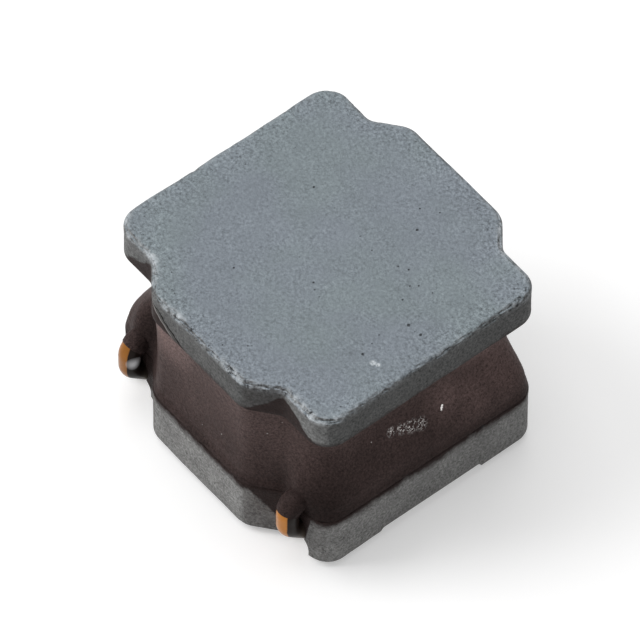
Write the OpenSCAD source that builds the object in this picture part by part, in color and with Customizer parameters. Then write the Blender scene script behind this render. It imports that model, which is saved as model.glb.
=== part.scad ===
// Shielded SMD power inductor: a ferrite drum core with one wound layer pair,
// a magnetic resin shield between the flanges and two soldered bottom electrodes.
// Origin: centre of the board side. +Z up. The electrodes lie at -X and +X,
// and both wire ends come down the notches on the -Y side.

/* [Core] */
// Length of both flanges along X, over the two electrodes
flange_l = 6; // [5.7:0.1:6.6]
// Width of both flanges along Y, over the two tabs
flange_w = 6; // [5.7:0.1:6.6]
// Height of the ferrite core over both flanges
core_h = 4.36; // [4.1:0.02:4.9]
// Thickness of the top flange
top_t = 0.8; // [0.6:0.05:1]
// Thickness of the bottom flange
bottom_t = 1.28; // [1.1:0.02:1.5]
// Diameter of the post between the flanges
post_d = 2.6; // [2:0.1:2.7]

/* [Flange outline] */
// Length along X of a corner lobe, from the end face to its notch
lobe_l = 1.12; // [1.04:0.02:1.24]
// Depth of the notches beside the tabs, which take the wire
notch_depth = 0.48; // [0.4:0.02:0.6]
// Run along X of the slanted step from a notch out to its tab
step_run = 0.59; // [0.45:0.02:0.75]
// Radius of the corner lobes
lobe_r = 0.48; // [0.3:0.02:0.6]
// Radius of the tab's own corners
tab_r = 0.54; // [0.2:0.02:0.8]
// Radius inside the notches
notch_r = 0.26; // [0.1:0.02:0.4]
// Broken edge of the outer faces of the core
outer_edge = 0.09; // [0.04:0.01:0.14]
// Broken edge of the flanges towards the winding
inner_edge = 0.05; // [0.02:0.01:0.08]

/* [End relief] */
// Length along Y of the shallow relief under each end face
relief_l = 2.2; // [1.4:0.1:3]
// Height of that relief
relief_h = 0.17; // [0.1:0.01:0.25]
// Slope along Y at each end of the relief
relief_slope = 0.16; // [0.05:0.01:0.3]
// Flat left between the relief and the electrode
relief_land = 0.03; // [0.02:0.01:0.06]

/* [Winding] */
// Diameter of the enamelled wire
wire_d = 0.42; // [0.34:0.02:0.46]
// Gap between the wire and the ferrite that it lies along
wire_gap = 0.02; // [0.01:0.01:0.04]
// Gap between the two layers
layer_gap = 0.03; // [0.02:0.01:0.05]
// Least gap between neighbouring turns of one layer
turn_gap = 0.02; // [0.01:0.005:0.03]
// Bend radius of the wire on the flange, from the notch to the winding
lead_turn_r = 0.35; // [0.3:0.01:0.45]
// Height over the ferrite underside at which the wire turns in towards its groove
entry_h = 0.88; // [0.8:0.02:0.96]
// Slope of the wire from there down into the groove, in degrees
entry_slope = 45; // [40:1:50]
// Place along Y of the cut ends of the wire in the grooves
wire_end_y = 1.7; // [1:0.1:2]

/* [Electrodes] */
// Width along X of each electrode
electrode_w = 1.12; // [1:0.02:1.16]
// Length along Y of each electrode
electrode_l = 4.5; // [4:0.1:4.6]
// Thickness of the electrode film
electrode_t = 0.03; // [0.02:0.005:0.04]
// Corner radius of the electrodes
electrode_r = 0.2; // [0.05:0.05:0.4]
// Thickness of the solder coat under the electrodes
solder_t = 0.07; // [0.05:0.01:0.1]
// Margin between the edge of the solder coat and that of its electrode
solder_margin = 0.05; // [0.02:0.01:0.1]
// Solder between the wire and the film that lines the groove
solder_gap = 0.03; // [0.02:0.005:0.05]
// Ferrite between the corner of the notch and the groove
groove_inset = 0.12; // [0.06:0.01:0.14]

/* [Resin shield] */
// Distance from the core axis to the waist of the shield along X
shield_waist = 2.45; // [2.35:0.05:2.6]
// Hollow of the shield's face below each tab
shield_hollow = 0.06; // [0:0.01:0.12]
// Share of the lobes that the shield still covers under the top flange
lobe_cover = 0.15; // [0.1:0.05:0.4]
// Height over the bottom flange at which the shield leaves the lobes
shoulder_h = 0.11; // [0.05:0.01:0.2]
// Height over the bottom flange at which the shield reaches its waist
flare_h = 1.48; // [1:0.02:1.6]
// Clearance of the shield around the wire
pot_gap = 0.01; // [0.005:0.005:0.02]
// Thickness of the resin hood over the bend of each lead
hood_t = 0.05; // [0.03:0.01:0.07]
// Share of that bend under the hood, in degrees
hood_turn = 50; // [40:2:56]

/* [Hidden] */

LOBE_SEGMENTS = 8;
BEND_SEGMENTS = 6;
TURN_SEGMENTS = 24;
WIRE_SIDES = 12;
ROOF_SEGMENTS = 8;
FINE = 64;
EPS = 0.05;
POST_ROOT = 0.3;

FERRITE = [0.47, 0.50, 0.52];
COPPER = [0.76, 0.43, 0.18];
RESIN = [0.22, 0.17, 0.16];
SILVER = [0.80, 0.80, 0.78];
TIN = [0.70, 0.71, 0.72];

half_l = flange_l / 2;
half_w = flange_w / 2;
wire_r = wire_d / 2;

// Heights, from the board up
seat_h = solder_t + electrode_t;
flange_top_z = seat_h + bottom_t;
window_top_z = seat_h + core_h - top_t;
window_h = window_top_z - flange_top_z;

// A U-shaped groove under each electrode takes the wire, the film and solder
groove_r = wire_r + solder_gap + electrode_t;
groove_x = half_l - lobe_l + groove_inset + groove_r;
groove_axis_z = seat_h + wire_r - electrode_t;
wire_bore_r = wire_r + pot_gap;

// Places of the wire beside and on the bottom flange, whose broken edge it bends round
lobe_face_y = half_w - notch_depth;
drop_y = -(lobe_face_y + wire_gap + wire_r);
lead_z = flange_top_z + wire_gap + wire_r;
bend_r = wire_r + wire_gap + inner_edge;
entry_z = seat_h + entry_h;
ramp_y = drop_y + (entry_z - groove_axis_z) / tan(entry_slope);
top_turn_z = window_top_z - wire_gap - wire_r;

// The winding: one layer up the post and one layer down over it
layer_1_r = post_d / 2 + wire_gap + wire_r;
layer_2_r = layer_1_r + wire_d + layer_gap;
turns_1 = floor((top_turn_z - lead_z) / (wire_d + turn_gap));
pitch = (top_turn_z - lead_z) / turns_1;
crossover = 60;

// ---- General functions ----

function mix(a, b, t) = a + (b - a) * t;
function clamp01(t) = max(0, min(1, t));
function smooth(t) = let (c = clamp01(t)) c * c * (3 - 2 * c);
function unit(v) = v / norm(v);

// Circular arc that rounds corner v between a and b, set back by s along both sides
function rounded(a, v, b, s, n) =
    let (p = v + unit(a - v) * s,
         q = v + unit(b - v) * s,
         k = norm(v - (p + q) / 2) < 1e-9 ? 1 : norm(q - p) / 2 / s)
    [for (i = [0:n]) let (t = i / n, m = 2 * k * t * (1 - t))
        (p * (1 - t) * (1 - t) + v * m + q * t * t) / ((1 - t) * (1 - t) + m + t * t)];

function mirrored(points, sx, sy) = [for (p = points) [p[0] * sx, p[1] * sy]];
function reversed(list) = [for (i = [len(list) - 1:-1:0]) list[i]];

// Full ring from its quarter in +X +Y, counter-clockwise
function four_quarters(q) = concat(
    q, reversed(mirrored(q, -1, 1)), mirrored(q, -1, -1), reversed(mirrored(q, 1, -1)));

// ---- The outline that both flanges and the shield share ----

step_angle = atan2(notch_depth, step_run);
step_k = tan(step_angle / 2);

// Corners of one quarter, inset by e: lobe, notch and tab
function lobe_corner(e) = [half_l - e, lobe_face_y - e];
function notch_corner(e) = [half_l - lobe_l - e * step_k, lobe_face_y - e];
function tab_corner(e) = [half_l - lobe_l - step_run - e * step_k, half_w - e];

function quarter(lobe, notch, tab, lobe_s, notch_s, tab_s) = concat(
    rounded([lobe[0], 0], lobe, notch, lobe_s, LOBE_SEGMENTS),
    rounded(lobe, notch, tab, notch_s, LOBE_SEGMENTS / 2),
    rounded(notch, tab, [0, tab[1]], tab_s, LOBE_SEGMENTS / 2));

function flange_ring(e) = four_quarters(quarter(
    lobe_corner(e), notch_corner(e), tab_corner(e),
    lobe_r - e, notch_r * step_k + e * step_k, (tab_r - e) * step_k));

// ---- Solids from stacked rings ----

// rings are lists of 3-D points, all of one length, from the bottom up
module skin(rings) {
    n = len(rings[0]);
    m = len(rings);
    polyhedron(
        points = [for (r = rings) each r],
        faces = concat(
            [[for (i = [0:n - 1]) i]],
            [for (j = [0:m - 2], i = [0:n - 1]) let (k = (i + 1) % n)
                each [[j * n + i, (j + 1) * n + k, j * n + k],
                      [j * n + i, (j + 1) * n + i, (j + 1) * n + k]]],
            [[for (i = [n - 1:-1:0]) (m - 1) * n + i]]),
        convexity = 8);
}

function at_height(ring, z) = [for (p = ring) [p[0], p[1], z]];

// Plate of the flange outline, with its edges broken by a skin that runs on past its faces
module flange(z0, z1, edge_0, edge_1) {
    intersection() {
        translate([0, 0, z0]) linear_extrude(z1 - z0) polygon(flange_ring(0));
        skin([at_height(flange_ring(edge_0 + EPS), z0 - EPS),
              at_height(flange_ring(-EPS), z0 + edge_0 + EPS),
              at_height(flange_ring(-EPS), z1 - edge_1 - EPS),
              at_height(flange_ring(edge_1 + EPS), z1 + EPS)]);
    }
}

// ---- Drum core ----

// Inverted U along Y: a round roof of radius r over an open slot
module groove(r, length) {
    rotate([90, 0, 0]) translate([0, 0, -length / 2]) linear_extrude(length) {
        translate([0, groove_axis_z]) circle(r, $fn = FINE);
        translate([-r, -EPS]) square([2 * r, groove_axis_z + EPS]);
    }
}

// Round channel of radius r along the slope of the wire, from its groove up to the notch
module lead_ramp(r) {
    translate([0, ramp_y, groove_axis_z]) rotate([90 - entry_slope, 0, 0])
        cylinder(h = (entry_z - groove_axis_z) / sin(entry_slope) + wire_d, r = r, $fn = FINE);
}

// Shallow relief in the lower edge of the end face, with sloped ends
module end_relief() {
    relief_w = half_l - groove_x - electrode_w / 2 - relief_land;
    translate([half_l - relief_w, 0, seat_h]) rotate([90, 0, 90])
        linear_extrude(relief_w + EPS) polygon([
            [-relief_l / 2 - relief_slope, -EPS], [relief_l / 2 + relief_slope, -EPS],
            [relief_l / 2 + relief_slope, 0], [relief_l / 2, relief_h],
            [-relief_l / 2, relief_h], [-relief_l / 2 - relief_slope, 0]]);
}

module drum_core() {
    color(FERRITE) difference() {
        union() {
            flange(seat_h, flange_top_z, outer_edge, inner_edge);
            flange(window_top_z, seat_h + core_h, inner_edge, outer_edge);
            translate([0, 0, flange_top_z - POST_ROOT])
                cylinder(h = window_h + 2 * POST_ROOT, d = post_d, $fn = FINE);
        }
        for (side = [-1, 1]) {
            translate([side * groove_x, 0, 0]) {
                groove(groove_r, flange_w);
                lead_ramp(wire_r + wire_gap);
            }
            rotate([0, 0, 90 - 90 * side]) end_relief();
        }
    }
}

// ---- Winding ----

// Heading at which the wire, having turned in from its notch, runs tangent to a layer
function lead_heading(layer_r) =
    let (c = [groove_x - lead_turn_r, drop_y + bend_r])
    atan2(-c[1], c[0]) - asin((lead_turn_r + layer_r) / norm(c));

start_angle = lead_heading(layer_1_r) - 90;
end_angle = 360 * (2 * turns_1 - 1) - lead_heading(layer_2_r) - 90;
wound = end_angle - start_angle;
layer_1_angle = 360 * turns_1;
steps = round(wound / 360 * TURN_SEGMENTS);

function turn_r(a) = mix(layer_1_r, layer_2_r, smooth((a - layer_1_angle) / crossover));
function turn_z(a) =
    a < layer_1_angle ? mix(lead_z, top_turn_z, a / layer_1_angle)
    : mix(top_turn_z, lead_z + pitch,
          clamp01((a - layer_1_angle - crossover) / (wound - layer_1_angle - crossover)));
turns = [for (i = [0:steps]) let (a = wound * i / steps, t = start_angle + a, r = turn_r(a))
    [r * cos(t), r * sin(t), turn_z(a)]];

// Bend on the flange from the notch towards a layer, for the lead at -X
function flange_turn(layer_r) = let (h = lead_heading(layer_r))
    [for (i = [0:BEND_SEGMENTS]) let (t = mix(90, h, i / BEND_SEGMENTS))
        [-groove_x + lead_turn_r * (1 - sin(t)), drop_y + bend_r + lead_turn_r * cos(t), lead_z]];

// Bend of the wire at corner v of its route in the plane of the lead at -X
function lead_bend(a, v, b, turn) =
    rounded(a, v, b, bend_r * tan(turn / 2), BEND_SEGMENTS);

// From the cut end along the groove, up its slope and the notch, and over the flange edge
cut_end = [-groove_x, wire_end_y, groove_axis_z];
ramp_foot = [-groove_x, ramp_y, groove_axis_z];
ramp_head = [-groove_x, drop_y, entry_z];
over_edge = [-groove_x, drop_y, lead_z];
on_flange = [-groove_x, 0, lead_z];
top_bend = lead_bend(ramp_head, over_edge, on_flange, 90);
drop = concat(
    [cut_end],
    lead_bend(cut_end, ramp_foot, ramp_head, entry_slope),
    lead_bend(ramp_foot, ramp_head, over_edge, 90 - entry_slope),
    [for (i = [0:BEND_SEGMENTS - 1]) top_bend[i]]);

function other_side(points) = [for (p = reversed(points)) [-p[0], p[1], p[2]]];

wire_path = concat(
    drop, flange_turn(layer_1_r), turns, other_side(concat(drop, flange_turn(layer_2_r))));

// Unit direction of a path at each point
function tangents(path) = let (n = len(path)) [for (i = [0:n - 1])
    unit(path[min(i + 1, n - 1)] - path[max(i - 1, 0)])];

// Side direction carried along the path without twist
function side_directions(ts) = [
    for (i = 0, s = unit(cross(ts[0], [0, 0, 1])); i < len(ts);
         i = i + 1, s = i < len(ts) ? unit(s - ts[i] * (s * ts[i])) : s) s];

// Section placed at every point of a path, with u as its side and v as its upright
function swept(path, section) =
    let (ts = tangents(path), us = side_directions(ts))
    [for (i = [0:len(path) - 1]) let (v = cross(us[i], ts[i]))
        [for (p = section) path[i] + us[i] * p[0] + v * p[1]]];

function round_section(r, n) = [for (i = [0:n - 1]) r * [cos(360 * i / n), -sin(360 * i / n)]];

module winding() {
    color(COPPER) skin(swept(wire_path, round_section(wire_r, WIRE_SIDES)));
}

// ---- Resin shield ----

// The waist continues the slanted steps of the tabs as far as shield_waist
function waist_corner() =
    let (tab = tab_corner(0), notch = notch_corner(0))
    mix(tab, notch, (shield_waist - tab[0]) / (notch[0] - tab[0]));

function shield_ring(h) =
    let (cover = mix(1, lobe_cover, smooth((h - shoulder_h) / (flare_h - shoulder_h))),
         hollow = [0, shield_hollow * sin(180 * h / window_h)])
    at_height(four_quarters(quarter(
        mix(waist_corner(), lobe_corner(inner_edge), cover),
        notch_corner(inner_edge) - hollow / 2, tab_corner(inner_edge) - hollow,
        lobe_r - inner_edge, notch_r * step_k, tab_r * step_k)), flange_top_z + h);

shield_levels = concat(
    [0, shoulder_h / 2],
    [for (t = [0:1 / 8:1]) mix(shoulder_h, flare_h, t)],
    [mix(flare_h, window_h, 1 / 2), window_h]);

// Space of the lead at -X in the shield, round the bend over the flange edge to a layer
// that it meets at height end_z: a round roof over the wire, open to the flange
module lead_space(layer_r, end_z) {
    h = lead_heading(layer_r);
    path = concat(top_bend, [for (i = [1:BEND_SEGMENTS]) flange_turn(layer_r)[i]],
                  [[layer_r * sin(h), -layer_r * cos(h), end_z]]);
    roof = [for (i = [0:ROOF_SEGMENTS]) let (t = 180 * i / ROOF_SEGMENTS)
        wire_bore_r * [cos(t), sin(t)]];
    foot = bend_r - inner_edge / 2;
    skin(swept(path, reversed(concat(roof, [[-wire_bore_r, -foot], [wire_bore_r, -foot]]))));
}

// Resin drawn out over the bend of the lead at -X, down to the plane of the flange
module lead_hood() {
    arc = [for (i = [0:BEND_SEGMENTS]) let (t = 90 - hood_turn * (1 - i / BEND_SEGMENTS))
        [-groove_x, drop_y + bend_r * (1 - cos(t)), lead_z - bend_r * (1 - sin(t))]];
    difference() {
        skin(swept(concat(arc, [over_edge + [0, bend_r + wire_d, 0]]),
                   round_section(wire_bore_r + hood_t, WIRE_SIDES)));
        translate([-half_l, -half_w, flange_top_z - wire_d]) cube([flange_l, flange_w, wire_d]);
    }
}

module resin_shield() {
    color(RESIN) difference() {
        union() {
            skin([for (h = shield_levels) shield_ring(h)]);
            lead_hood();
            mirror([1, 0, 0]) lead_hood();
        }
        translate([0, 0, flange_top_z - EPS])
            cylinder(h = window_h + 2 * EPS, r = layer_2_r + wire_bore_r, $fn = FINE);
        lead_space(layer_1_r, lead_z);
        mirror([1, 0, 0]) lead_space(layer_2_r, lead_z + pitch);
    }
}

// ---- Electrodes and their solder ----

module rounded_pad(w, l, r, z0, z1) {
    translate([0, 0, z0]) linear_extrude(z1 - z0) {
        square([w - 2 * r, l], center = true);
        square([w, l - 2 * r], center = true);
        for (x = [-1, 1], y = [-1, 1])
            translate([x * (w / 2 - r), y * (l / 2 - r)]) circle(r, $fn = FINE);
    }
}

// Film on both lands and over the walls and roof of the groove
module electrode(side) {
    color(SILVER) translate([side * groove_x, 0, 0]) difference() {
        union() {
            rounded_pad(electrode_w, electrode_l, electrode_r, solder_t, seat_h);
            intersection() {
                groove(groove_r, electrode_l);
                translate([-groove_r, -electrode_l / 2, solder_t])
                    cube([2 * groove_r, electrode_l, wire_d + groove_r]);
            }
        }
        groove(groove_r - electrode_t, electrode_l + EPS);
        lead_ramp(wire_r + wire_gap);
    }
}

// Coat under the lands and fill around the wire in the groove
module solder(side) {
    coat_w = electrode_w - 2 * solder_margin;
    coat_l = electrode_l - 2 * solder_margin;
    color(TIN) translate([side * groove_x, 0, 0]) difference() {
        union() {
            rounded_pad(coat_w, coat_l, electrode_r, 0, solder_t);
            intersection() {
                groove(groove_r - electrode_t, coat_l);
                translate([-groove_r, -coat_l / 2, 0])
                    cube([2 * groove_r, coat_l, wire_d + groove_r]);
            }
        }
        translate([0, wire_end_y + pot_gap, groove_axis_z]) rotate([90, 0, 0])
            cylinder(h = wire_end_y + pot_gap - ramp_y + wire_bore_r * sin(entry_slope),
                     r = wire_bore_r, $fn = FINE);
        lead_ramp(wire_bore_r);
    }
}

module electrode_left() { electrode(-1); }
module electrode_right() { electrode(1); }
module solder_left() { solder(-1); }
module solder_right() { solder(1); }

drum_core();
winding();
resin_shield();
electrode_left();
electrode_right();
solder_left();
solder_right();
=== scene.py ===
from math import asin, atan2, ceil, cos, degrees, hypot, pi, radians, sin, sqrt, tan

import bpy
from mathutils import Matrix, Vector, kdtree, noise


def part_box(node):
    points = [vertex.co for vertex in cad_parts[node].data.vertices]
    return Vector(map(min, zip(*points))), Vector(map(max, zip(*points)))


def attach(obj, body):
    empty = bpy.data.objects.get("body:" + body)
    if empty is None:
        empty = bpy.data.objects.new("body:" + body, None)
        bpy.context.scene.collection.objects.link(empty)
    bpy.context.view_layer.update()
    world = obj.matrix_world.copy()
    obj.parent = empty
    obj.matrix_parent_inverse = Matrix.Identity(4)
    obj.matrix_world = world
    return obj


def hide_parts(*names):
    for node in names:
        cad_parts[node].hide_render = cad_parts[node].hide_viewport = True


# A shielded surface-mount inductor: worn ferrite core, resin shield, enamelled wire, film and solder.
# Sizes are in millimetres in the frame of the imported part, and finish_piece() turns each mesh into metres.
# The floor and the lamps are in metres.

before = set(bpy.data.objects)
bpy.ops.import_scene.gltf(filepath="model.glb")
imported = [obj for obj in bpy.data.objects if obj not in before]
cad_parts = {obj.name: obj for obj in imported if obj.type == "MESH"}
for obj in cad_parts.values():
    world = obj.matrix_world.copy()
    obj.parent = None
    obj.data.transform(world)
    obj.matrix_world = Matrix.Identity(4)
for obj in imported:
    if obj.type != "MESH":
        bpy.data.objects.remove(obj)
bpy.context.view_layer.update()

MM = 0.001


def box_mm(node):
    low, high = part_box(node)
    return low / MM, high / MM


core_low, core_high = box_mm("drum_core")
shield_low, shield_high = box_mm("resin_shield")
wire_high = box_mm("winding")[1]
film_low, film_high = box_mm("electrode_right")
coat_low, coat_high = box_mm("solder_right")

# ---- Sizes, from the frame where it gives them ----

HALF_L = core_high.x
HALF_W = core_high.y
SEAT_Z = core_low.z
CORE_TOP = core_high.z
FLANGE_TOP = shield_low.z
WINDOW_TOP = shield_high.z
WINDOW_H = WINDOW_TOP - FLANGE_TOP
POST_R = 1.3

LOBE_L = 1.12
NOTCH_DEPTH = 0.48
STEP_RUN = 0.59
LOBE_R = 0.48
TAB_R = 0.54
NOTCH_R = 0.26
OUTER_EDGE = 0.09
INNER_EDGE = 0.05
LOBE_FACE_Y = HALF_W - NOTCH_DEPTH
NOTCH_X = HALF_L - LOBE_L
TAB_X = NOTCH_X - STEP_RUN

WIRE_D = 0.42
WIRE_R = WIRE_D / 2
WIRE_GAP = 0.02
LAYER_GAP = 0.03
TURN_GAP = 0.02
LEAD_TURN_R = 0.35
ENTRY_H = 0.88
ENTRY_SLOPE = radians(45)
CROSSOVER = 60
GROOVE_X = (film_low.x + film_high.x) / 2
FILM_T = SEAT_Z - film_low.z
GROOVE_GAP = 0.03
GROOVE_R = WIRE_R + GROOVE_GAP + FILM_T
GROOVE_AXIS_Z = SEAT_Z + WIRE_R - FILM_T
BORE_GAP = 0.01

# Thickness of the resin drawn over a lead's bend, and how far round the bend it goes at -X and +X
HOOD_T = 0.018
HOOD_TURN = {-1: radians(46), 1: radians(70)}

POINT_STEP = 0.032
SHARP_ANGLE = radians(38)


# ---- Small functions ----

def mix(a, b, t):
    return a + (b - a) * t


def smooth(t):
    t = max(0.0, min(1.0, t))
    return t * t * (3 - 2 * t)


def fbm(p, scale, octaves=3, offset=0.0):
    return noise.fractal(p * scale + Vector((offset, 1.7 * offset, -offset)), 1.0, 2.0, octaves)


# ---- The outline that the flanges and the shield share ----

STEP_K = tan(atan2(NOTCH_DEPTH, STEP_RUN) / 2)


def lobe_corner(e):
    return Vector((HALF_L - e, LOBE_FACE_Y - e))


def notch_corner(e):
    return Vector((NOTCH_X - e * STEP_K, LOBE_FACE_Y - e))


def tab_corner(e):
    return Vector((TAB_X - e * STEP_K, HALF_W - e))


def arc(a, v, b, s, n):
    """Arc that rounds corner v between a and b, set back by s along both sides"""
    p = v + (a - v).normalized() * s
    q = v + (b - v).normalized() * s
    k = (q - p).length / 2 / s
    points = []
    for i in range(n + 1):
        t = i / n
        m = 2 * k * t * (1 - t)
        w = (1 - t) ** 2
        points.append((p * w + v * m + q * t * t) / (w + m + t * t))
    return points


def between(p, q, n):
    return [p.lerp(q, i / n) for i in range(1, n)]


def count(length):
    return max(2, ceil(length / POINT_STEP))


def arc_count(s, turn):
    return count(s / tan(turn / 2) * turn)


STEP_TURN = atan2(NOTCH_DEPTH, STEP_RUN)
COUNTS = {
    "end": count(LOBE_FACE_Y - LOBE_R),
    "lobe": arc_count(LOBE_R, pi / 2),
    "face": count(LOBE_L - LOBE_R - NOTCH_R * STEP_K),
    "notch": arc_count(NOTCH_R * STEP_K, STEP_TURN),
    "step": count(hypot(NOTCH_DEPTH, STEP_RUN) - (NOTCH_R + TAB_R) * STEP_K),
    "tab_arc": arc_count(TAB_R * STEP_K, STEP_TURN),
    "tab": count(TAB_X),
}


def quarter(lobe, notch, tab, lobe_s, notch_s, tab_s):
    a = arc(Vector((lobe.x, 0)), lobe, notch, lobe_s, COUNTS["lobe"])
    b = arc(lobe, notch, tab, notch_s, COUNTS["notch"])
    c = arc(notch, tab, Vector((0, tab.y)), tab_s, COUNTS["tab_arc"])
    end = [Vector((lobe.x, a[0].y * (i + 0.5) / COUNTS["end"])) for i in range(COUNTS["end"])]
    top = [Vector((c[-1].x * (i + 0.5) / COUNTS["tab"], tab.y)) for i in range(COUNTS["tab"])]
    return (end + a + between(a[-1], b[0], COUNTS["face"]) + b
            + between(b[-1], c[0], COUNTS["step"]) + c + top[::-1])


def four_quarters(q):
    def flipped(points, sx, sy):
        return [Vector((p.x * sx, p.y * sy)) for p in points]
    return q + flipped(q, -1, 1)[::-1] + flipped(q, -1, -1) + flipped(q, 1, -1)[::-1]


def flange_ring(e):
    return four_quarters(quarter(
        lobe_corner(e), notch_corner(e), tab_corner(e),
        LOBE_R - e, (NOTCH_R + e) * STEP_K, (TAB_R - e) * STEP_K))


RIM_PROBE = 0.01
RIM = flange_ring(0)
RIM_INWARD = [(b - a) / RIM_PROBE for a, b in zip(RIM, flange_ring(RIM_PROBE))]
N = len(RIM)


def rim_point(i, e):
    return RIM[i] + RIM_INWARD[i] * e


def round_row(radius, z):
    """The outline's points pulled in to a circle"""
    return [Vector((*(p.normalized() * radius), z)) for p in RIM]


# ---- Meshes ----

def skin_faces(rows, n, closed=False):
    """Quads between rows of n points; the ends are capped unless the rows close on themselves"""
    faces = []
    for j in range(rows if closed else rows - 1):
        a, b = j * n, (j + 1) % rows * n
        faces += [(a + i, a + (i + 1) % n, b + (i + 1) % n, b + i) for i in range(n)]
    if not closed:
        faces.append(tuple(range(n - 1, -1, -1)))
        faces.append(tuple((rows - 1) * n + i for i in range(n)))
    return faces


def make_object(name, rows, closed=False):
    """Mesh object, still in millimetres, from rows of points that run round counter-clockwise"""
    mesh = bpy.data.meshes.new(name)
    points = [tuple(p) for row in rows for p in row]
    mesh.from_pydata(points, [], skin_faces(len(rows), len(rows[0]), closed))
    mesh.validate()
    obj = bpy.data.objects.new(name, mesh)
    bpy.context.scene.collection.objects.link(obj)
    return obj


def combine(obj, tool, operation):
    """obj with tool cut from it or joined to it; tool is used up"""
    modifier = obj.modifiers.new("combine", "BOOLEAN")
    modifier.operation = operation
    modifier.solver = "MANIFOLD"
    modifier.object = tool
    graph = bpy.context.evaluated_depsgraph_get()
    result = bpy.data.meshes.new_from_object(obj.evaluated_get(graph))
    obj.modifiers.clear()
    obj.data = result
    bpy.data.objects.remove(tool)


def finish_piece(obj, nodes, material):
    obj.data.transform(Matrix.Scale(MM, 4))
    obj.data.shade_smooth()
    obj.data.set_sharp_from_angle(angle=SHARP_ANGLE)
    obj.data.materials.clear()
    obj.data.materials.append(material)
    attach(obj, "root")
    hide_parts(*nodes)


def set_attribute(obj, name, values):
    layer = obj.data.attributes.new(name, "FLOAT", "POINT")
    layer.data.foreach_set("value", values)


# ---- Drum core ----

FILLET_ROWS = 9
SIDE_STEP = 0.08
FACE_SHARES = (0.02, 0.05, 0.10, 0.18, 0.30, 0.55)
CENTRE_SHARE = 0.05
WEAR_WIDTH = 0.18
EDGE_BAND = 0.85
CUT_PAST = 0.2
MOUTH_R = 0.07
MOUTH_STEPS = 6
FOOT_FLARE = 0.035
FOOT_STEPS = 6
ROOF_STEPS = 24
RELIEF_L = 2.2
RELIEF_H = 0.17
RELIEF_SLOPE = 0.16
RELIEF_STEPS = 8


def exposure(p):
    """How much rubbing the top edge has had at p: most on the -Y side, and at the +X +Y corner, where the
    pale worn flecks are a painted highlight for glints
    """
    lead_side = smooth((-p.y - 2.0) / 0.5)
    glint_corner = smooth((p.x + p.y - 3.9) / 0.5) * smooth((p.y - 1.6) / 0.4)
    return mix(0.3, 1.0, max(lead_side, glint_corner))


def edge_wear(p, seed):
    """How far an edge is worn back at p: a steady rub, ragged nibbles and a few chips"""
    rub = 0.009 + 0.014 * fbm(p, 1.1, 2, seed)
    nibble = 0.026 * max(0.0, fbm(p, 6.5, 3, seed + 5))
    chip = 0.16 * max(0.0, fbm(p, 2.6, 2, seed + 11) - 0.36)
    return max(0.0, rub + nibble + chip)


def fillet_rows(z_edge, up, radius, seed, wear):
    """Rows round one edge of a flange, from its side to its face; up is 1 for an upper edge"""
    rows = []
    for k in range(FILLET_ROWS + 1):
        turn = k / FILLET_ROWS * pi / 2
        row = []
        for i in range(N):
            flat = Vector((RIM[i].x, RIM[i].y, z_edge))
            r = radius * (1 + 0.35 * fbm(flat, 0.9, 2, seed + 3))
            here = flat + Vector((0, 0, 0.25 * turn))
            worn = wear * edge_wear(here, seed) * sin(2 * turn) ** 0.7
            if z_edge == CORE_TOP:
                worn *= 0.35 + 0.85 * exposure(flat)
            e = r * (1 - cos(turn)) + worn * cos(turn)
            z = z_edge - up * (r * (1 - sin(turn)) + worn * sin(turn))
            p = rim_point(i, e)
            row.append(Vector((p.x, p.y, z)))
        rows.append(row)
    return rows


def side_rows(below, above):
    """Rows up the side of a flange between two fillets, with the slight unevenness of pressing"""
    n = ceil((above[0].z - below[0].z) / SIDE_STEP)
    rows = []
    for k in range(1, n):
        row = []
        for i in range(N):
            p = below[i].lerp(above[i], k / n)
            uneven = 0.004 + 0.006 * fbm(p, 2.3, 3, 21.0) + 0.004 * fbm(p, 7.0, 2, 27.0)
            e = max(0.0, uneven) * sin(pi * k / n)
            inward = RIM_INWARD[i]
            row.append(Vector((p.x + inward.x * e, p.y + inward.y * e, p.z)))
        rows.append(row)
    return rows


def face_rows(start, inner):
    """Rows over a flat face from a fillet to an inner row"""
    return [[a.lerp(b, share) for a, b in zip(start, inner)] for share in FACE_SHARES]


def scaled_row(row, share, z):
    return [Vector((p.x * share, p.y * share, z)) for p in row]


def core_rows():
    low = fillet_rows(SEAT_Z, -1, OUTER_EDGE, 2.0, 1.0)[::-1]
    low_top = fillet_rows(FLANGE_TOP, 1, INNER_EDGE, 31.0, 0.5)
    high_low = fillet_rows(WINDOW_TOP, -1, INNER_EDGE, 47.0, 0.7)[::-1]
    high = fillet_rows(CORE_TOP, 1, OUTER_EDGE, 63.0, 1.6)
    post_low, post_high = round_row(POST_R, FLANGE_TOP), round_row(POST_R, WINDOW_TOP)
    centre_low = scaled_row(low[0], CENTRE_SHARE, SEAT_Z)
    centre_high = scaled_row(high[-1], CENTRE_SHARE, CORE_TOP)
    rows = [centre_low] + face_rows(low[0], centre_low)[::-1] + low
    rows += side_rows(low[-1], low_top[0]) + low_top
    rows += face_rows(low_top[-1], post_low)
    rows += [post_low, post_high]
    rows += face_rows(high_low[0], post_high)[::-1]
    rows += high_low + side_rows(high_low[-1], high[0]) + high
    rows += face_rows(high[-1], centre_high) + [centre_high]
    return rows


def rim_distances(points):
    """Distance of each point from the flange outline, seen from above"""
    tree = kdtree.KDTree(N)
    for i, p in enumerate(RIM):
        tree.insert((p.x, p.y, 0), i)
    tree.balance()
    return [tree.find((p.x, p.y, 0))[2] for p in points]


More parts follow.
